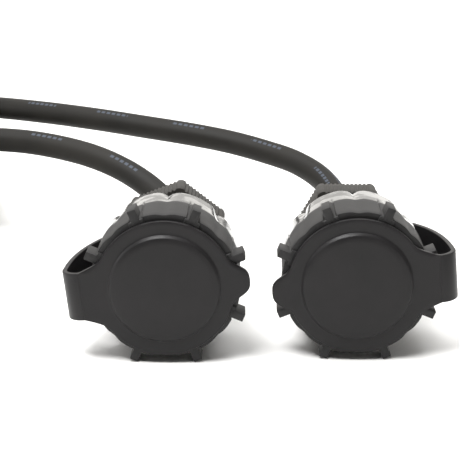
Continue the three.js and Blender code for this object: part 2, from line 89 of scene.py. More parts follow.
# %% Camera
SENSOR = 36.0  # millimetres
FOCAL_RATIO = 2.9348  # focal length over picture width
CAMERA_PLACE = (-0.0069, -0.7683, 0.2968)
CAMERA_DOWN = 16.991  # degrees below level
CAMERA_LEFT = 0.851  # degrees turned to the left
camera_data = bpy.data.cameras.new("camera")
camera_data.sensor_width = SENSOR
camera_data.lens = SENSOR * FOCAL_RATIO
camera = bpy.data.objects.new("camera", camera_data)
camera.location = CAMERA_PLACE
camera.rotation_euler = (math.radians(90 - CAMERA_DOWN), 0, math.radians(CAMERA_LEFT))
bpy.context.scene.collection.objects.link(camera)
bpy.context.scene.camera = camera
bpy.context.scene.view_settings.view_transform = "Standard"

# %% [markdown]
# ## The cord
# A heavy three-core rubber cord, nearly 17 mm thick. Only the first stretch behind each nut lies
# free; the rest is wound up as for storage. The free stretches are a few chosen points with a
# smooth curve through them. The coil is a formula: the turning angle grows steadily, and height
# and radius change only in short ramps between one turn and the next. A tube is then a ring
# carried along that path.

# %% The cord's route
CORD_D = 0.0168
CORD_START = 109.8 * MM  # depth at which the cord shows behind a nut
FRONT_Y = ORIGIN["plug"][1]  # the routes count Y from here
# Chosen points of each free run: x, y and z in millimetres, from the nut to the coil
PLUG_RUN = np.array([
    [-54, 110.3, 45.284], [-54, 122, 45.284], [-56, 139, 46.4], [-63.3, 157, 50.6], [-75, 172, 57],
    [-92, 185, 64.6], [-114, 197, 71.2], [-139, 208, 75.2], [-168, 219, 77.1], [-204, 228, 76.6],
    [-222, 227, 75.9], [-254.7, 199.4, 75.6], [-277.8, 153.2, 75.6],
]) * MM + [0, FRONT_Y, 0]
SOCKET_RUN = np.array([
    [54, 116.3, 45.284], [54, 134, 45.284], [53.5, 157, 47], [50, 181, 51.6], [41.2, 202, 57],
    [25.5, 221, 62.2], [4, 236, 66.2], [-22, 248, 70.5], [-52, 258, 74], [-86, 271, 76.4],
    [-124, 287, 78.6], [-166, 308, 79.2], [-214, 336, 77.4], [-262, 354, 75.6],
]) * MM + [0, FRONT_Y, 0]
COIL_CENTRE = np.array([-0.343, 0.2475 + FRONT_Y])
COIL_MEAN_R = 0.125
COIL_LAYERS = 5
COIL_START = -75.0  # degrees round the coil's centre
COIL_SWEEP = 3085.0  # degrees turned in all
FIRST_RAMP = 85.0  # degrees turned before the first ramp
RAMP_SPAN = 120.0  # degrees turned within a ramp


def ease(x):
    """0 below 0, 1 above 1 and 3x^2 - 2x^3 between."""
    x = np.clip(x, 0, 1)
    return x * x * (3 - 2 * x)


def coil_path(per_turn=36):
    """Down the outer column of turns, inwards at the floor and up the inner one.

    The angle falls steadily by the sweep. Each turn has one ramp, which changes the height by one
    cord, or, at the bottom, the radius by one cord."""
    turned = np.linspace(0, COIL_SWEEP, round(COIL_SWEEP / 360 * per_turn) + 1)
    count = 2 * COIL_LAYERS - 1
    ramps = [ease((turned - FIRST_RAMP - 360 * k) / RAMP_SPAN) for k in range(count)]
    down = sum(ramps[: COIL_LAYERS - 1])
    up = sum(ramps[COIL_LAYERS:])
    height = CORD_D * (COIL_LAYERS - 0.5 - down + up)
    radius = COIL_MEAN_R + CORD_D * (0.5 - ramps[COIL_LAYERS - 1])
    angle = np.radians(COIL_START - turned)
    x = COIL_CENTRE[0] + radius * np.cos(angle)
    y = COIL_CENTRE[1] + radius * np.sin(angle)
    return np.stack([x, y, height], 1)


SPAN_POINTS = 10


def smooth_through(points, per_span=SPAN_POINTS):
    """Centripetal Catmull-Rom curve: knots a square root of the chord apart, then three rounds of
    blending between neighbours, for every span at once."""
    ends = np.concatenate([[2 * points[0] - points[1]], points, [2 * points[-1] - points[-2]]])
    knots = np.concatenate([[0], np.cumsum(np.linalg.norm(np.diff(ends, axis=0), axis=1) ** 0.5)])
    p = [ends[i: len(ends) - 3 + i, None] for i in range(4)]
    t = [knots[i: len(knots) - 3 + i, None, None] for i in range(4)]
    at = t[1] + (t[2] - t[1]) * np.linspace(0, 1, per_span, endpoint=False)[None, :, None]

    def mix(a, b, low, high):
        return (a * (high - at) + b * (at - low)) / (high - low)

    first = [mix(p[i], p[i + 1], t[i], t[i + 1]) for i in range(3)]
    second = [mix(first[i], first[i + 1], t[i], t[i + 2]) for i in range(2)]
    curve = mix(second[0], second[1], t[1], t[2]).reshape(-1, 3)
    return np.concatenate([curve, points[-1:]])


def gland_start(end):
    """The cord's first point, just inside the nut."""
    return ORIGIN[end] + [0, CORD_START, 0]


# A run goes on through three of the coil's points, so that it enters the coil in the coil's own
# direction. Its last two spans are then dropped, because the coil itself is there.
STEER = 4  # from one of those points to the next
coil = coil_path()
to_coil = smooth_through(np.concatenate([PLUG_RUN, coil[: 2 * STEER + 1: STEER]]))
from_coil = smooth_through(np.concatenate([SOCKET_RUN, coil[: -2 * STEER - 2: -STEER]]))
to_coil, from_coil = to_coil[: -2 * SPAN_POINTS], from_coil[: -2 * SPAN_POINTS]
cord_path = np.concatenate([
    gland_start("plug")[None], to_coil, coil[1:-1], from_coil[::-1], gland_start("socket")[None],
])
cord_length = float(np.linalg.norm(np.diff(cord_path, axis=0), axis=1).sum())
print("cord path:", len(cord_path), "points,", round(cord_length, 3), "m")

# %% [markdown]
# ## From arrays to a mesh
# Every new piece is a grid of points worked out at once, plus the faces between neighbouring
# points. A piece may hold several closed grids. Points that fall together, as at a pole, are
# merged, the faces are turned outwards, and edges sharper than a set angle stay crisp while the
# rest shade smoothly.

# %% Grid and mesh helpers
def grid_faces(rows, columns, closed_rows):
    """Four-cornered faces of a grid whose columns close on themselves; its rows may too."""
    bands = rows if closed_rows else rows - 1
    row, column = np.meshgrid(np.arange(bands), np.arange(columns), indexing="ij")
    below, right = (row + 1) % rows, (column + 1) % columns
    corners = [
        row * columns + column, row * columns + right,
        below * columns + right, below * columns + column,
    ]
    return np.stack(corners, -1).reshape(-1, 4)


def patch(points, closed_rows=False):
    """A closed grid of points, shape (rows, columns, 3), as points and faces."""
    rows, columns = points.shape[:2]
    return points.reshape(-1, 3), grid_faces(rows, columns, closed_rows)


SAME_PLACE = 1e-6  # metres between points that are merged


def make_piece(name, patches, sharp=35, uv=None, attribute=None):
    """One mesh object from closed patches. uv has a pair for each face corner, in the order of the
    faces, and attribute is a name and a value for each point."""
    counts = [len(points) for points, _ in patches]
    starts = np.cumsum([0] + counts[:-1])
    points = np.concatenate([points for points, _ in patches])
    faces = np.concatenate([faces + start for (_, faces), start in zip(patches, starts)])
    mesh = bpy.data.meshes.new(name)
    mesh.from_pydata(points.tolist(), [], faces.tolist())
    if uv is not None:
        mesh.uv_layers.new(name="along").data.foreach_set("uv", uv.astype(np.float32).ravel())
    if attribute is not None:
        layer = mesh.attributes.new(attribute[0], "FLOAT", "POINT")
        layer.data.foreach_set("value", attribute[1].astype(np.float32).ravel())
    work = bmesh.new()
    work.from_mesh(mesh)
    bmesh.ops.remove_doubles(work, verts=work.verts, dist=SAME_PLACE)
    bmesh.ops.recalc_face_normals(work, faces=work.faces)
    work.to_mesh(mesh)
    work.free()
    mesh.shade_smooth()
    mesh.set_sharp_from_angle(angle=math.radians(sharp))
    made = bpy.data.objects.new(name, mesh)
    bpy.context.scene.collection.objects.link(made)
    print(name, len(mesh.vertices), "points")
    return made


def round_axis(end, radius, depth, angle):
    """Points at a radius and depth round a connector's axis: x and z are the radius times the
    cosine and sine of the angle. All three may be arrays, and lengths are in millimetres."""
    radius, depth, angle = np.broadcast_arrays(radius, depth, angle)
    offset = np.stack([radius * np.cos(angle), depth, radius * np.sin(angle)], -1)
    return ORIGIN[end] + offset * MM


def full_circle(columns):
    """Equal angles once round, without the last, which would repeat the first."""
    return np.linspace(0, 2 * np.pi, columns, endpoint=False)


def revolve(end, outline, columns=128, closed=False):
    """An outline of (radius, depth) carried round the axis."""
    outline = np.array(outline, float)
    points = round_axis(end, outline[:, :1], outline[:, 1:], full_circle(columns)[None])
    return patch(points, closed)


# %% The cord as a tube
def tube(path, radius, columns=20):
    """A ring of the given radius carried along the path. Its two axes are the path's level side
    direction and the direction square to side and path. A point closes each end."""
    along = np.gradient(path, axis=0)
    along /= np.linalg.norm(along, axis=1, keepdims=True)
    side = np.cross(along, [0, 0, 1])
    side /= np.linalg.norm(side, axis=1, keepdims=True)
    up = np.cross(side, along)
    angle = full_circle(columns)[None, :, None]
    rings = path[:, None] + radius * (np.cos(angle) * side[:, None] + np.sin(angle) * up[:, None])
    ends = [np.repeat(path[i][None, None], columns, 1) for i in (0, -1)]
    return np.concatenate([ends[0], rings, ends[1]])


def tube_uv(path, columns=20):
    """Metres along the cord, and the share of the way round, at each face corner."""
    run = np.concatenate([[0], np.cumsum(np.linalg.norm(np.diff(path, axis=0), axis=1))])
    run = np.concatenate([run[:1], run, run[-1:]])
    row, column = np.meshgrid(np.arange(len(run) - 1), np.arange(columns), indexing="ij")
    u = np.stack([run[row], run[row], run[row + 1], run[row + 1]], -1)
    v = np.stack([column, column + 1, column + 1, column], -1) / columns
    return np.stack([u, v], -1).reshape(-1, 2)


cord = make_piece("cord", [patch(tube(cord_path, CORD_D / 2))], sharp=60, uv=tube_uv(cord_path))
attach(cord, "cord_set")
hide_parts("cord_run_plug", "cord_run_socket", "cord_coil")

# %% [markdown]
# ## Shader maths that reads like maths
# A material is a graph of nodes. Wrapping a socket in a small class lets `1 - mask * 0.3` add the
# Math nodes by itself, so that a finish reads as a formula. Colours are mixed by one method. What
# is the same all over a piece is set on the shader's own socket; only what varies is linked.

# %% A socket that does sums, and a material that makes nodes
class Wire:
    """A node's output that can be added, subtracted and multiplied."""

    def __init__(self, material, socket):
        self.material = material
        self.socket = socket

    def sum_with(self, operation, first, second):
        return self.material.node("ShaderNodeMath", {"operation": operation}, {0: first, 1: second})

    def __add__(self, other):
        return self.sum_with("ADD", self, other)

    def __sub__(self, other):
        return self.sum_with("SUBTRACT", self, other)

    def __rsub__(self, other):
        return self.sum_with("SUBTRACT", other, self)

    def __mul__(self, other):
        return self.sum_with("MULTIPLY", self, other)

    __radd__ = __add__
    __rmul__ = __mul__


NOISE_LOW, NOISE_HIGH = 0.3, 0.7  # nearly all of a noise texture's values lie between


class Finish:
    """A new material with one Principled shader, whose plain values are set at once."""

    def __init__(self, name, **plain):
        self.material = bpy.data.materials.new(name)
        self.material.use_nodes = True
        self.tree = self.material.node_tree
        self.shader = self.tree.nodes["Principled BSDF"]
        for key, value in plain.items():
            socket = key.replace("_", " ").title().replace("Ior", "IOR")
            self.shader.inputs[socket].default_value = value

    def node(self, kind, settings=None, sockets=None, output=0):
        """Any node, from its type, its settings and its sockets' values or links."""
        made = self.tree.nodes.new(kind)
        for key, value in (settings or {}).items():
            setattr(made, key, value)
        for key, value in (sockets or {}).items():
            self.feed(made.inputs[key], value)
        return Wire(self, made.outputs[output])

    def feed(self, socket, value):
        if isinstance(value, Wire):
            self.tree.links.new(value.socket, socket)
        else:
            socket.default_value = value

    def into(self, **wires):
        """What varies over the surface, linked to the shader."""
        for key, wire in wires.items():
            self.feed(self.shader.inputs[key.replace("_", " ")], wire)

    def place(self):
        return self.node("ShaderNodeTexCoord", output="Object")

    def noise(self, scale, detail=4.0, stretch=None, vector=None):
        at = vector or self.place()
        if stretch:
            at = self.node("ShaderNodeMapping", sockets={"Vector": at, "Scale": stretch})
        sockets = {"Vector": at, "Scale": scale, "Detail": detail}
        return self.node("ShaderNodeTexNoise", sockets=sockets)

    def between(self, low, high, share):
        """A number that runs from low to high as share runs over the noise's usual values."""
        sockets = {"Value": share, "From Min": NOISE_LOW, "From Max": NOISE_HIGH}
        return self.node("ShaderNodeMapRange", sockets=sockets | {"To Min": low, "To Max": high})

    def step(self, value, low, high):
        """0 below low, 1 above high and a smooth step between."""
        sockets = {"Value": value, "From Min": low, "From Max": high}
        return self.node("ShaderNodeMapRange", {"interpolation_type": "SMOOTHSTEP"}, sockets)

    def blend(self, low, high, share):
        """A colour between two colours, which may themselves be blends."""
        low, high = (c if isinstance(c, Wire) else (*c, 1.0) for c in (low, high))
        sockets = {0: share, 6: low, 7: high}
        return self.node("ShaderNodeMix", {"data_type": "RGBA"}, sockets, output=2)

    def bump(self, height, strength, distance):
        """Small relief from a height between 0 and 1. The distance is in metres."""
        sockets = {"Height": height, "Strength": strength, "Distance": distance}
        return self.node("ShaderNodeBump", sockets=sockets)


# %% [markdown]
# ## Rubber
# The caps, straps and collars are one soft black rubber. It is satin: moulded from a lightly
# blasted tool, with a grain far finer than a millimetre, and handled, so it has dull and rubbed
# patches.

# %% Cap rubber and seal rubber
def rubber(name, dark, light, roughness, grain):
    """Large soft patches change colour and roughness, and a fine grit does the grain."""
    finish = Finish(name, specular_ior_level=0.2)
    patches = finish.noise(38.0, 3.0)
    grit = finish.noise(2600.0, 2.0)
    finish.into(
        Base_Color=finish.blend(dark, light, finish.between(0.0, 1.0, patches)),
        Roughness=finish.between(roughness - 0.06, roughness + 0.06, patches) + (grit - 0.5) * 0.08,
        Normal=finish.bump(grit, grain, 0.00006),
    )
    return finish.material


cap_rubber = rubber("cap_rubber", (0.0095, 0.009, 0.0094), (0.0145, 0.0135, 0.014), 0.38, 0.35)
seal_rubber = rubber("seal_rubber", (0.008, 0.008, 0.008), (0.014, 0.013, 0.012), 0.62, 0.5)

# %% [markdown]
# ## Moulded plastics
# The coupling ring is a hard plastic with two finishes from one mould: a finely blasted grip in
# front and a polished taper behind. A value stored on each point, 0 on the grip and 1 on the
# taper, drives the roughness, so the border follows the shape. The nut and the shell are duller
# nylon.

# %% Ring, housing, nut and insert plastics
def ring_plastic():
    """Grip and taper in one material: each value is the grip's plus polish times the difference."""
    finish = Finish("ring_plastic", ior=1.38, coat_roughness=0.07, coat_ior=1.5)
    polish = finish.node("ShaderNodeAttribute", {"attribute_name": "polish"}, output="Fac")
    wear = finish.noise(55.0, 5.0)
    grit = finish.noise(2200.0, 2.0)
    dull = finish.between(0.5, 0.6, wear) + (grit - 0.5) * 0.1
    glossy = finish.between(0.12, 0.26, wear)
    patches = finish.step(finish.noise(95.0, 3.0), 0.44, 0.58)
    worn = finish.between(0.0, 1.0, wear)
    finish.into(
        Base_Color=finish.blend((0.010, 0.0097, 0.010), (0.020, 0.0192, 0.0192), worn),
        Roughness=dull + (glossy - dull) * polish,
        Coat_Weight=polish * (0.25 + patches * 0.75),
        Normal=finish.bump(grit * (1 - polish), 0.3, 0.00006),
    )
    return finish.material


def moulded(name, dark, light, roughness):
    """A matte nylon: fine grain, faint flow marks and slightly rubbed, paler patches."""
    finish = Finish(name, ior=1.48)
    flow = finish.noise(90.0, 5.0, stretch=(1.0, 0.35, 1.0))
    grit = finish.noise(1900.0, 3.0)
    finish.into(
        Base_Color=finish.blend(dark, light, finish.between(0.0, 1.0, flow)),
        Roughness=finish.between(roughness - 0.07, roughness + 0.07, flow),
        Normal=finish.bump(grit, 0.35, 0.00008),
    )
    return finish.material


ring_finish = ring_plastic()
housing_plastic = moulded("housing_plastic", (0.011, 0.011, 0.0115), (0.020, 0.019, 0.018), 0.40)
nut_plastic = moulded("nut_plastic", (0.014, 0.0125, 0.0105), (0.027, 0.024, 0.020), 0.62)
insert_plastic = moulded("insert_plastic", (0.020, 0.020, 0.021), (0.034, 0.033, 0.032), 0.5)

# %% [markdown]
# ## Metal and wire
# The contacts are brass, rolled and stamped, so fine lines run along them and handling has dulled
# them in spots. Screws, washers and the spring clip are zinc-plated steel. Each conductor has its
# own colour.

# %% Brass, steel and the conductors' insulation
def metal(name, clean, dull, roughness):
    """Tarnish in spots, and lines rolled along Y that break up the mirror."""
    finish = Finish(name, metallic=1.0)
    tarnish = finish.noise(240.0, 5.0)
    rolled = finish.noise(1400.0, 2.0, stretch=(1.0, 0.04, 1.0))
    finish.into(
        Base_Color=finish.blend(clean, dull, finish.between(0.0, 1.0, tarnish)),
        Roughness=finish.between(roughness, roughness + 0.16, tarnish) + (rolled - 0.5) * 0.15,
        Normal=finish.bump(rolled, 0.15, 0.00004),
    )
    return finish.material


def wire_insulation(name, dark, light):
    """Smooth plastic with faint lines drawn along Y."""
    finish = Finish(name, ior=1.46)
    drawn = finish.noise(900.0, 2.0, stretch=(1.0, 0.05, 1.0))
    finish.into(
        Base_Color=finish.blend(dark, light, finish.between(0.0, 1.0, drawn)),
        Roughness=finish.between(0.36, 0.5, drawn),
    )
    return finish.material


brass = metal("brass", (0.80, 0.60, 0.27), (0.62, 0.44, 0.19), 0.22)
steel = metal("steel", (0.60, 0.61, 0.62), (0.44, 0.44, 0.43), 0.28)
WIRE = {
    "line": wire_insulation("wire_black", (0.012, 0.012, 0.012), (0.020, 0.020, 0.020)),
    "neutral": wire_insulation("wire_white", (0.72, 0.70, 0.64), (0.82, 0.80, 0.75)),
    "earth": wire_insulation("wire_green", (0.03, 0.22, 0.07), (0.05, 0.30, 0.11)),
}

# %% [markdown]
# ## The cord's jacket
# A rubber jacket is drawn through a die, so it has faint lines along its length, and a dusty bloom
# settles on it in patches. The lines and the print follow the cord through every bend because they
# are read from the cord's own map of metres along it and share of the way round. The print is left
# as a row of plain dashes that spell nothing.

# %% Jacket
CORD_TOP = 0.25  # share of the way round at which the top lies
PRINT_LINE = 0.08  # share of the way round from the top
PRINT_HALF = 0.018  # half the printed band's width, as such a share
DASH = 0.0021  # half of a dash and its gap, in metres
WORD = 0.031  # half of a row of dashes and the space after it


def jacket():
    """The print's mask is a product of three: the band round the cord, the dashes and the rows."""
    finish = Finish("cord_jacket", ior=1.46, specular_ior_level=0.25)
    flat = finish.node("ShaderNodeUVMap", {"uv_map": "along"})
    along = finish.node("ShaderNodeSeparateXYZ", sockets={"Vector": flat})
    around = Wire(finish, along.socket.node.outputs["Y"])
    lines = finish.noise(150.0, 3.0, stretch=(0.08, 1.0, 1.0), vector=flat)
    bloom = finish.noise(26.0, 5.0)
    dash = finish.node("ShaderNodeMath", {"operation": "PINGPONG"}, {0: along, 1: DASH})
    word = finish.node("ShaderNodeMath", {"operation": "PINGPONG"}, {0: along, 1: WORD})
    from_top = finish.node("ShaderNodeMath", {"operation": "ABSOLUTE"}, {0: around - CORD_TOP})
    middle = finish.node("ShaderNodeMath", {"operation": "ABSOLUTE"}, {0: from_top - PRINT_LINE})
    band = 1 - finish.step(middle, PRINT_HALF, PRINT_HALF + 0.006)
    print_mask = band * finish.step(dash, 0.0006, 0.0009) * finish.step(word, 0.018, 0.0185)
    dusty = finish.between(0.0, 1.0, bloom)
    base = finish.blend((0.008, 0.0075, 0.0065), (0.017, 0.0155, 0.013), dusty)
    finish.into(
        Base_Color=finish.blend(base, (0.10, 0.12, 0.16), print_mask * 0.5),
        Roughness=finish.between(0.52, 0.66, bloom) + (lines - 0.5) * 0.12,
        Normal=finish.bump(lines, 0.25, 0.0001),
    )
    return finish.material


cord.data.materials.append(jacket())

# %% [markdown]
# ## The coupling ring
# The ring screws the two halves together. Outside it has eight lugs and, between them, panels
# with a soft groove down the middle that deepens towards the rear. It could be carved from a
# block with cuts, but a formula is shorter and cleaner: a closed outline is carried round the
# axis, and the outside sinks by a bell-shaped dip at the middle of each panel.

# %% Coupling ring's shape
LUGS = 8
LUG_STEP = 2 * math.pi / LUGS
RING_R = 42.4  # radii and depths are in millimetres
RING_INNER = 34.4
RING_REAR_R = 41.8
RING_FRONT = 1.4
CREASE = 29.0  # border of grip and taper
TAPER_END = 50.0
RING_LENGTH = 52.0
WEB_INNER = 29.6
WEB_FRONT = 44.0
GROOVE_DEPTH = 0.8
GROOVE_GAIN = 2.4  # how much deeper the groove is at the rear
FRONT_SPREAD, REAR_SPREAD = 4.6, 4.4  # degrees
SLOT_DEPTH = 0.9
SLOT_PLACE, SLOT_SPREAD = 4.3, 0.7  # degrees from a lug's middle, and degrees


def groove(angle, depth):
    """How far the outside sinks: a bell across each panel's middle, which deepens and sharpens
    behind the crease, and in front of the crease a slot on each side of a lug."""
    off_middle = np.degrees(np.abs((angle + LUG_STEP / 2) % LUG_STEP - LUG_STEP / 2))
    behind = ease((depth - CREASE) / 6)
    deepening = np.clip((depth - CREASE) / (RING_LENGTH - CREASE), 0, 1)
    height = GROOVE_DEPTH + GROOVE_GAIN * deepening
    front = np.exp(-((off_middle / FRONT_SPREAD) ** 2))
    rear = np.exp(-((off_middle / REAR_SPREAD) ** 1.25))
    off_slot = np.abs(np.degrees(LUG_STEP / 2) - off_middle - SLOT_PLACE)
    slot = SLOT_DEPTH * np.exp(-((off_slot / SLOT_SPREAD) ** 2)) * (1 - behind)
    return height * (front + (rear - front) * behind) + slot


def ring_outline():
    """(radius, depth, share of the groove, polish) round the closed outline: over the front face,
    back along the outside, round the rear and forward along the bore."""
    grip = [(RING_R, d, 1, 0) for d in np.linspace(RING_FRONT + 0.7, CREASE - 0.6, 7)]
    taper = [
        (RING_R + (RING_REAR_R - RING_R) * ((d - CREASE) / (TAPER_END - CREASE)) ** 1.15, d, 1, 1)
        for d in np.linspace(CREASE + 0.5, TAPER_END, 12)
    ]
    return np.array([
        (RING_INNER, RING_FRONT + 0.5, 0, 0), (RING_INNER + 0.5, RING_FRONT, 0, 0),
        (RING_R - 3, RING_FRONT, 0.5, 0), (RING_R - 0.5, RING_FRONT, 1, 0),
        (RING_R - 0.15, RING_FRONT + 0.15, 1, 0), *grip,
        (RING_R - 0.05, CREASE - 0.1, 1, 0.4), *taper,
        (RING_REAR_R - 0.35, RING_LENGTH - 0.8, 1, 1), (RING_REAR_R - 1.1, RING_LENGTH - 0.2, 1, 1),
        (RING_REAR_R - 2, RING_LENGTH, 0.8, 1), (WEB_INNER + 0.3, RING_LENGTH, 0, 0),
        (WEB_INNER, RING_LENGTH - 0.3, 0, 0), (WEB_INNER, WEB_FRONT, 0, 0),
        (RING_INNER, WEB_FRONT, 0, 0), (RING_INNER, 30, 0, 0), (RING_INNER, 15, 0, 0),
    ])


def ring_body(end, columns=LUGS * 90):
    """The outline carried round the axis, and each point's polish."""
    outline = ring_outline()
    radius, depth, share, polish = (outline[:, i: i + 1] for i in range(4))
    angle = full_circle(columns)[None]
    points = round_axis(end, radius - share * groove(angle, depth), depth, angle)
    return patch(points, closed_rows=True), np.repeat(polish, columns, 1).ravel()


# %% Lugs and the feet beside them
TO_POINT = 99.0  # an inset that shrinks a ring to its middle, which closes the bar


def rounded_bar(across, up, bevel, rows):
    """A bar's rings. rows gives (depth, inset) pairs, and each ring is a rectangle with round
    corners, made smaller by the inset. Returns across, up and depth as (rows, columns) arrays."""
    corner = np.radians([0, 22.5, 45, 67.5, 90])
    angle = np.concatenate([corner + k * np.pi / 2 for k in range(4)])
    side_x = np.repeat([1, -1, -1, 1], len(corner))
    side_y = np.repeat([1, 1, -1, -1], len(corner))
    depth, inset = np.array(rows, float).T[:, :, None]
    half_x, half_y = (across[1] - across[0]) / 2, (up[1] - up[0]) / 2
    x = (half_x - bevel) * side_x + bevel * np.cos(angle)
    y = (half_y - bevel) * side_y + bevel * np.sin(angle)
    x = sum(across) / 2 + x * np.clip(1 - inset / half_x, 0, 1)
    y = sum(up) / 2 + y * np.clip(1 - inset / half_y, 0, 1)
    return x, y, depth + 0 * x


def bar_patch(end, bar, angle):
    """A bar turned to stand on the ring at an angle round the axis."""
    across, up, depth = bar
    x = up * math.cos(angle) - across * math.sin(angle)
    z = up * math.sin(angle) + across * math.cos(angle)
    return patch(ORIGIN[end] + np.stack([x, depth, z], -1) * MM)


LUG_TIP = 48.0
LUG_HALF = 2.45
lug_rows = [
    (0, TO_POINT), (0, 0.35), (0.12, 0.1), (0.4, 0), (5, 0), (13.2, 0.05), (13.8, 0.3), (14, 0.9),
    (14, TO_POINT),
]
lug = rounded_bar((-LUG_HALF, LUG_HALF), (36, LUG_TIP), 0.45, lug_rows)
foot_rows = [(0.1, TO_POINT), (0.1, 0.3), (0.4, 0), (1.6, 0), (1.6, TO_POINT)]
foot = rounded_bar((-4.5, 4.5), (37.6, 41.6), 0.3, foot_rows)
for end in ENDS:
    body, polish = ring_body(end)
    places = [(i + 0.5) * LUG_STEP for i in range(LUGS)]
    bars = [bar_patch(end, bar, angle) for angle in places for bar in (lug, foot)]
    polish = np.concatenate([polish, np.zeros(sum(len(points) for points, _ in bars))])
    ring = make_piece(f"{end}_grip_ring", [body, *bars], sharp=30, attribute=("polish", polish))
    ring.data.materials.append(ring_finish)
    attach(ring, f"{end}_coupling_ring_body")
    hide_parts(f"{end}_coupling_ring")

# %% [markdown]
# ## The dust cap and its strap
# The cap is one rubber moulding: a raised disc, a flange, a pull tab, a lip that plugs the mouth
# and a strap that bends back to a collar. The cap's edge is a radius that depends on the angle: a
# circle, a bell-shaped bump for the tab, and flared sides where the strap leaves. The strap is a
# rounded rectangle carried along an arc and a slant.

# %% Cap's shape
CAP_R = 39.3
CAP_FRONT = -3.2
CAP_BACK = -0.4
DISC_R = 31.4
DISC_FRONT = -5.4
TAB_RISE = 8.7
TAB_SPREAD = 13.0  # degrees
FLARE = math.radians(16)  # over which the strap's root widens into the flange
STRAP_HALF = 14.0
STRAP_FROM = 46.8
STRAP_CORNER = math.atan2(STRAP_HALF, STRAP_FROM)


def cap_edge(angle):
    """The flange's radius at an angle from the strap: the furthest of the tab, which is the circle
    plus a bell, and the strap's root, which is a straight end and two flared sides."""
    off_strap = np.abs((angle + np.pi) % (2 * np.pi) - np.pi)
    off_tab = np.degrees(np.pi - off_strap)
    tab = CAP_R + TAB_RISE * np.exp(-((off_tab / TAB_SPREAD) ** 3.2))
    end_line = STRAP_FROM / np.cos(np.minimum(off_strap, 1.2))
    past = np.clip((off_strap - STRAP_CORNER) / FLARE, 0, 1)
    side = CAP_R + (STRAP_FROM / math.cos(STRAP_CORNER) - CAP_R) * (1 - past) ** 1.9
    root = np.where(off_strap <= STRAP_CORNER, end_line, side)
    return np.maximum(tab, root)


def cap_angles():
    """Even steps, with extra columns at the two corners of the strap's root."""
    even = full_circle(288)
    corners = STRAP_CORNER + np.radians([-0.02, 0.0, 0.15, 0.4, 0.7, 1.1])
    return np.sort(np.concatenate([even, corners, 2 * np.pi - corners]))


def cap_patch(end):
    """Rows from the middle of the disc, over the flange's edge, along the lip and back to the
    middle. The edge is rounded all the way round, apart from where the strap goes on."""
    angle = cap_angles()
    edge = cap_edge(angle)
    on_strap = np.abs((angle + np.pi) % (2 * np.pi) - np.pi) <= STRAP_CORNER + 1e-6
    inset = np.where(on_strap, 0.0, 1.0)
    flange_from = DISC_R + 0.8
    rows = [(r, DISC_FRONT + 0.5 * (r / DISC_R) ** 2) for r in (0, 6, 12, 17, 22, 26)]
    chamfer = ((1.45, 0.46), (1.3, 0.54), (0.3, 1.5), (0.1, 1.75))
    rows += [(DISC_R - inwards, DISC_FRONT + back) for inwards, back in chamfer]
    rows += [(DISC_R, CAP_FRONT - 0.3), (DISC_R + 0.4, CAP_FRONT - 0.08), (flange_from, CAP_FRONT)]
    rows = [(r + 0 * edge, d + 0 * edge) for r, d in rows]
    for share in (0.1, 0.4, 0.7):
        rows.append((flange_from + (edge - 0.7 - flange_from) * share, CAP_FRONT + 0 * edge))
    rim = ((0.6, 0), (0.18, 0.16), (0, 0.6))
    rows += [(edge - cut * inset, CAP_FRONT + lift * inset) for cut, lift in rim]
    rows += [(edge - cut * inset, CAP_BACK - lift * inset) for cut, lift in rim[::-1]]
    lip = [
        (28.5, CAP_BACK), (26.8, CAP_BACK), (26.6, 0), (26.3, 3), (26.15, 6.4), (25.8, 7),
        (24.7, 7), (24.4, 6.7), (24.4, 0), (24.0, CAP_BACK), (12, CAP_BACK), (0, CAP_BACK),
    ]
    rows += [(r + 0 * edge, d + 0 * edge) for r, d in lip]
    radius = np.stack([r for r, _ in rows])
    depth = np.stack([d for _, d in rows])
    return patch(round_axis(end, radius, depth, angle[None] + STRAP_ANGLE[end]))


# %% Strap's line and its band of rubber
BEND_R = 8.8
STRAP_T = 2.8
BEND_DEPTH = CAP_BACK - STRAP_T / 2 + BEND_R
STRAP_END = (30.2, 71.0)
STRAP_OVER_RING = 4.7
STRAP_NARROWS = (0.97, 0.92, 0.84)  # the last rows' share of the width
STILL_ROW, MOVING_ROW = 27, 3  # rows of the line where the bend ends and begins


def strap_line():
    """(radius, depth) of the strap's middle: an arc of 100 degrees, then a Bezier curve that clears
    the ring's rear edge and slants in to the collar."""
    turn = np.radians(np.linspace(-90, 10, 25))
    arc = np.stack([STRAP_FROM + BEND_R * np.cos(turn), BEND_DEPTH + BEND_R * np.sin(turn)], 1)
    start, end = arc[-1], np.array(STRAP_END)
    pull_a = np.array([start[0] - 1, start[1] + 0.42 * (end[1] - start[1])])
    pull_b = np.array([RING_REAR_R + STRAP_OVER_RING, start[1] + 0.79 * (end[1] - start[1])])
    t = np.linspace(0, 1, 30)[1:, None]
    slant = (
        (1 - t) ** 3 * start + 3 * (1 - t) ** 2 * t * pull_a
        + 3 * (1 - t) * t ** 2 * pull_b + t ** 3 * end
    )
    return np.concatenate([arc, slant])


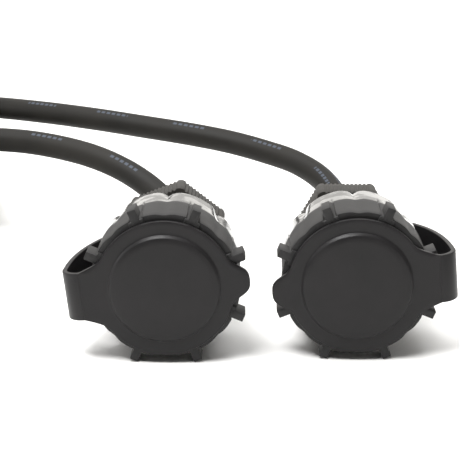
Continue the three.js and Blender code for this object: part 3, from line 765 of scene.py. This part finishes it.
def strap_patch(end):
    """A rounded rectangle carried along the line. The last stretch narrows where it lies on the
    collar."""
    line = strap_line()
    along = np.gradient(line, axis=0)
    along /= np.linalg.norm(along, axis=1, keepdims=True)
    outward = np.stack([along[:, 1], -along[:, 0]], 1)
    wide, thick = (-STRAP_HALF, STRAP_HALF), (-STRAP_T / 2, STRAP_T / 2)
    across, through, _ = rounded_bar(wide, thick, 0.5, [(0, 0)])
    width = np.ones(len(line))
    width[-len(STRAP_NARROWS):] = STRAP_NARROWS
    across = across * width[:, None]
    centre = line[:, None] + through[..., None] * outward[:, None]
    ends = np.repeat(line[[0, -1], None], across.shape[1], 1)
    centre = np.concatenate([ends[:1], centre, ends[1:]])
    across = np.concatenate([0 * across[:1], across, 0 * across[:1]])
    angle = STRAP_ANGLE[end]
    x = centre[..., 0] * math.cos(angle) - across * math.sin(angle)
    z = centre[..., 0] * math.sin(angle) + across * math.cos(angle)
    return patch(ORIGIN[end] + np.stack([x, centre[..., 1], z], -1) * MM)


for end in ENDS:
    cap = make_piece(f"{end}_cap_and_strap", [cap_patch(end), strap_patch(end)], sharp=32)
    cap.data.materials.append(cap_rubber)
    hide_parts(f"{end}_dust_cap", f"{end}_cap_strap")
    last_still, first_moving = strap_line()[[STILL_ROW, MOVING_ROW]]
    start = round_axis(end, last_still[0], last_still[1], STRAP_ANGLE[end]).tolist()
    stop = round_axis(end, first_moving[0], first_moving[1], STRAP_ANGLE[end]).tolist()
    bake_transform(cap)

# %% Collar
collar_outline = [
    (24.9, 66.6), (25.3, 66.1), (27.2, 66.0), (27.75, 66.25), (27.9, 66.8), (27.9, 72),
    (27.9, 77.2), (27.75, 77.75), (27.2, 78), (25.3, 77.9), (24.9, 77.4),
]
for end in ENDS:
    collar = make_piece(f"{end}_collar", [revolve(end, collar_outline, closed=True)])
    collar.data.materials.append(cap_rubber)
    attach(collar, "cord_set")
    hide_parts(f"{end}_strap_collar")

# %% [markdown]
# ## The shell
# Behind the ring the shell narrows to a neck and ends in a thread for the nut. A lathe would turn
# it, and so does this: an outline carried round the axis. The thread is the same outline with a
# ripple whose phase moves on by one pitch per turn, which makes it a true helix.

# %% Shell with its thread
THREAD_PITCH = 2.0
THREAD_DEPTH = 0.7
THREAD_R = 23.6
THREAD_FRONT, THREAD_REAR = 85.0, 98.3
shell_front = [
    (28.0, 34.3), (28.0, 12), (28.0, 1.3), (28.4, 0.9), (30.2, 0.9), (30.6, 1.3), (30.6, 20),
    (30.6, 36.6), (34.0, 36.6), (34.0, 43.6), (29.2, 43.6), (29.2, 52.1), (27.6, 52.1),
    (27.6, 54.1), (29.2, 54.1), (29.0, 54.6), (25.0, 58.3), (24.6, 59.0), (24.6, 71),
    (24.6, 83.6), (24.2, 84.2), (THREAD_R, 84.6),
]
shell_back = [
    (23.2, 98.5), (15.8, 98.5), (15.8, 82.0), (9.2, 82.0), (9.2, 79.0), (20.5, 79.0), (20.5, 56),
    (20.5, 34.3),
]


def shell_patch(end, columns=128):
    """The outline carried round the axis, less a cosine ripple of depth over pitch plus angle."""
    thread = [(THREAD_R, d) for d in np.arange(THREAD_FRONT, THREAD_REAR, THREAD_PITCH / 8)]
    outline = np.array(shell_front + thread + shell_back)
    radius, depth = outline[:, :1], outline[:, 1:]
    angle = full_circle(columns)[None]
    on_thread = ((depth >= THREAD_FRONT) & (depth < THREAD_REAR)).astype(float)
    fade = on_thread * ease((depth - THREAD_FRONT + 0.3) / 1.5)
    ripple = 0.5 - 0.5 * np.cos(2 * np.pi * depth / THREAD_PITCH + angle)
    points = round_axis(end, radius - THREAD_DEPTH * fade * ripple, depth, angle)
    return patch(points, closed_rows=True)


for end in ENDS:
    shell = make_piece(f"{end}_housing", [shell_patch(end)], sharp=40)
    shell.data.materials.append(housing_plastic)
    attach(shell, "cord_set")
    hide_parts(f"{end}_shell")

# %% [markdown]
# ## The clamp nut
# Six flats with fine teeth for a wet hand, and smooth corners. Its outline is walked once: along
# each flat the edge dips in a row of teeth, and round each corner it is an arc. That outline is
# then carried along the axis, and shrinks at both ends for a chamfer.

# %% Clamp nut
NUT_FLAT = 29.9
NUT_CORNER_R = 5.0
NUT_FRONT, NUT_FLOOR, NUT_REAR = 89.0, 104.4, 110.0
NUT_BORE_R, NUT_THREAD_R = 9.2, 24.1
TEETH = 11  # on each flat
TOOTH_DEPTH = 0.75


def nut_outline(turn):
    """x and z round the nut: six times a corner arc and a flat with its teeth."""
    thirty = math.radians(30)
    centre = (NUT_FLAT - NUT_CORNER_R) / math.cos(thirty)
    arc = np.radians(np.linspace(-30, 30, 13))
    arc_x = centre + NUT_CORNER_R * np.cos(arc)
    arc_z = NUT_CORNER_R * np.sin(arc)
    half_flat = centre * math.sin(thirty)
    share = np.linspace(0, 1, TEETH * 10 + 1)[1:-1]
    dip = TOOTH_DEPTH * (0.5 - 0.5 * np.cos(2 * np.pi * TEETH * share)) ** 0.8
    flat_x, flat_z = NUT_FLAT - dip, half_flat * (2 * share - 1)
    turned_x = flat_x * math.cos(thirty) - flat_z * math.sin(thirty)
    turned_z = flat_x * math.sin(thirty) + flat_z * math.cos(thirty)
    x, z = np.concatenate([arc_x, turned_x]), np.concatenate([arc_z, turned_z])
    angles = (turn + np.radians(60 * np.arange(6)))[:, None]
    round_x = x * np.cos(angles) - z * np.sin(angles)
    round_z = x * np.sin(angles) + z * np.cos(angles)
    return round_x.ravel(), round_z.ravel()


def nut_patch(end):
    """Outer rows keep the outline, inner rows are circles at the same angles round the axis."""
    x, z = nut_outline(NUT_TURN[end])
    outer, angle = np.hypot(x, z), np.arctan2(z, x)
    smooth = np.minimum(outer, NUT_FLAT - 0.9)
    rows = [(smooth, NUT_FRONT), (outer - 0.35, NUT_FRONT + 0.15), (outer, NUT_FRONT + 0.8)]
    rows += [(outer, d) for d in (96, 103)]
    rows += [(outer, NUT_REAR - 1.6), (outer - 0.5, NUT_REAR - 0.6), (smooth - 0.4, NUT_REAR)]
    bore = [
        (11, NUT_REAR), (9.6, NUT_REAR - 0.1), (NUT_BORE_R, NUT_REAR - 0.5),
        (NUT_BORE_R, NUT_FLOOR), (NUT_THREAD_R, NUT_FLOOR), (NUT_THREAD_R, 97),
        (NUT_THREAD_R, NUT_FRONT + 0.6), (24.6, NUT_FRONT),
    ]
    rows += [(r + 0 * outer, d) for r, d in bore]
    radius = np.stack([r for r, _ in rows])
    depth = np.array([d for _, d in rows])[:, None]
    return patch(round_axis(end, radius, depth, angle[None]), closed_rows=True)


for end in ENDS:
    nut = make_piece(f"{end}_knurled_nut", [nut_patch(end)], sharp=50)
    nut.data.materials.append(nut_plastic)
    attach(nut, f"{end}_clamp_nut_body")
    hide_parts(f"{end}_clamp_nut")

# %% [markdown]
# ## Pieces that keep their shape
# Contacts, screws, conductors, seals and washers are already right as they come from the frame.
# Each one only needs its finish, which is put in every slot of its object.

# %% Finishes for the frame's own nodes
KEPT = {
    "ring_circlip": steel, "front_seal": seal_rubber, "insert": insert_plastic,
    "insert_retainer": housing_plastic, "grommet": seal_rubber, "clamp_ring": housing_plastic,
    "slip_washer": steel, "jacket_end": cord.data.materials[0],
}
for pole, wire in WIRE.items():
    KEPT |= {f"contact_{pole}": brass, f"terminal_screw_{pole}": steel, f"conductor_{pole}": wire}


def set_finish(node, finish):
    """One finish in every slot of a node's own object."""
    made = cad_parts[node]
    if not made.material_slots:
        made.data.materials.append(finish)
    for slot in made.material_slots:
        slot.material = finish


for end in ENDS:
    for name, finish in KEPT.items():
        set_finish(f"{end}_{name}", finish)
print("nodes with a new finish:", 2 * len(KEPT))

# %% [markdown]
# ## Floor and light
# A pale floor so wide that it fills the view. One broad panel hangs above, a small strong one in
# front draws the edge of each raised disc, a warm one behind lights the polished tapers, and a
# weak one stands on the left. The sky is darker on the camera's side, so the faces turned to the
# camera stay deep black.

# %% Stage
def build_floor(half=6.0):
    """A square of paper at height zero."""
    corners = [(-half, -half, 0), (half, -half, 0), (half, half, 0), (-half, half, 0)]
    mesh = bpy.data.meshes.new("floor")
    mesh.from_pydata(corners, [], [(0, 1, 2, 3)])
    floor = bpy.data.objects.new("floor", mesh)
    bpy.context.scene.collection.objects.link(floor)
    finish = Finish("floor_paper", base_color=(0.92, 0.915, 0.90, 1.0), roughness=0.9)
    mesh.materials.append(finish.material)
    return floor


def add_panel(name, place, aim, size, power, colour=(1.0, 1.0, 1.0)):
    """A rectangular lamp turned from its place towards its aim, hidden from the camera."""
    data = bpy.data.lights.new(name, "AREA")
    data.shape = "RECTANGLE"
    data.size, data.size_y = size
    data.energy = power
    data.color = colour
    panel = bpy.data.objects.new(name, data)
    panel.location = place
    direction = np.array(place) - np.array(aim)
    yaw = math.atan2(direction[0], -direction[1])
    tilt = math.atan2(math.hypot(direction[0], direction[1]), direction[2])
    panel.rotation_euler = (tilt, 0, yaw)
    panel.visible_camera = False
    bpy.context.scene.collection.objects.link(panel)


def soft_sky(front, back):
    """A world that runs from one grey on the camera's side to another behind the object."""
    world = bpy.data.worlds.new("studio")
    world.use_nodes = True
    bpy.context.scene.world = world
    nodes, links = world.node_tree.nodes, world.node_tree.links
    place = nodes.new("ShaderNodeTexCoord")
    parts = nodes.new("ShaderNodeSeparateXYZ")
    ramp = nodes.new("ShaderNodeMapRange")
    ramp.inputs["From Min"].default_value = -0.6
    ramp.inputs["From Max"].default_value = 0.6
    ramp.inputs["To Min"].default_value = front
    ramp.inputs["To Max"].default_value = back
    links.new(place.outputs["Generated"], parts.inputs["Vector"])
    links.new(parts.outputs["Y"], ramp.inputs["Value"])
    links.new(ramp.outputs["Result"], nodes["Background"].inputs["Strength"])
    nodes["Background"].inputs["Color"].default_value = (1.0, 0.985, 0.96, 1.0)


build_floor()
soft_sky(0.12, 0.75)
add_panel("top_panel", (0.0, 0.30, 1.5), (0, 0.05, 0), (1.8, 1.3), 26)
add_panel("front_panel", (-0.35, -0.55, 1.3), (-0.05, -0.05, 0.05), (0.7, 0.4), 24)
add_panel("back_panel", (0, 2.0, 0.55), (0, 0, 0.08), (2.8, 1.0), 7, (1.0, 0.97, 0.91))
add_panel("left_panel", (-1.2, -0.1, 0.5), (-0.05, 0, 0.05), (0.4, 0.9), 4)
